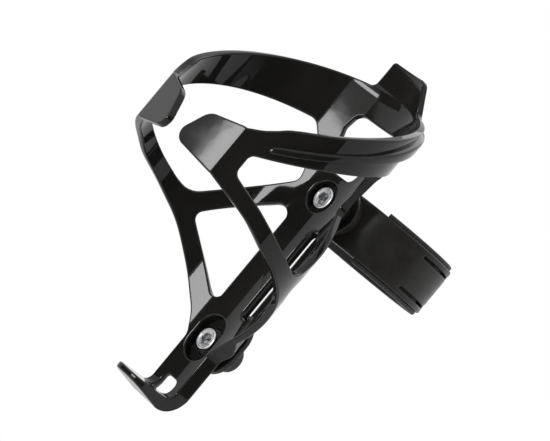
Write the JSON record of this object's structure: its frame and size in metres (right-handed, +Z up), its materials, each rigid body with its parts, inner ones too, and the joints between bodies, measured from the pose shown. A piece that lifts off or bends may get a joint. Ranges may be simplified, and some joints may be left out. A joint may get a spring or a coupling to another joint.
{
  "type": "bicycle bottle cage",
  "caption": "Moulded bottle cage with a sloping ring, slim side arms and a foot, bolted to a hinged, rubber-lined tube clamp and a lower standoff.",
  "frame": {"origin": "middle of the clamp's bore, on the tube's axis, level with the upper bolt", "axes": "+Z up along the tube and the bottle, +Y forward from the tube to the bottle, +X sideways"},
  "size_m": [0.082, 0.137, 0.1465],
  "materials": {
    "cage_plastic": "gloss black moulded nylon",
    "clamp_plastic": "satin black moulded nylon",
    "liner_rubber": "matte black rubber",
    "zinc_steel": "bright zinc-plated steel",
    "black_steel": "black oxide steel"
  },
  "bodies": {
    "clamp": {"clamp_jaw": "clamp_plastic", "jaw_liner": "liner_rubber", "gate_pin": "zinc_steel", "upper_spacer": "clamp_plastic", "upper_nut": "zinc_steel", "upper_bolt": "zinc_steel", "upper_washer": "black_steel"},
    "gate": {"clamp_gate": "clamp_plastic", "gate_liner": "liner_rubber"},
    "cage": {"cage_body": "cage_plastic"},
    "standoff": {"lower_bolt": "zinc_steel", "lower_washer": "black_steel", "lower_spacer": "clamp_plastic", "lower_nut": "zinc_steel", "tube_pad": "liner_rubber"}
  },
  "joints": [
    {"name": "gate_hinge", "type": "hinge", "parent": "clamp", "child": "gate", "pos_m": [0.01957, 0.02099, 0], "axis": [0, 0, 1], "range_deg": [0, 80]},
    {"name": "cage_swivel", "type": "hinge", "parent": "clamp", "child": "cage", "pos_m": [0, 0.0321, 0], "axis": [0, 1, 0], "range_deg": [-90, 90]},
    {"name": "standoff_slide", "type": "slide", "parent": "cage", "child": "standoff", "axis": [0, 0, 1], "range_m": [-0.003, 0.003]}
  ]
}
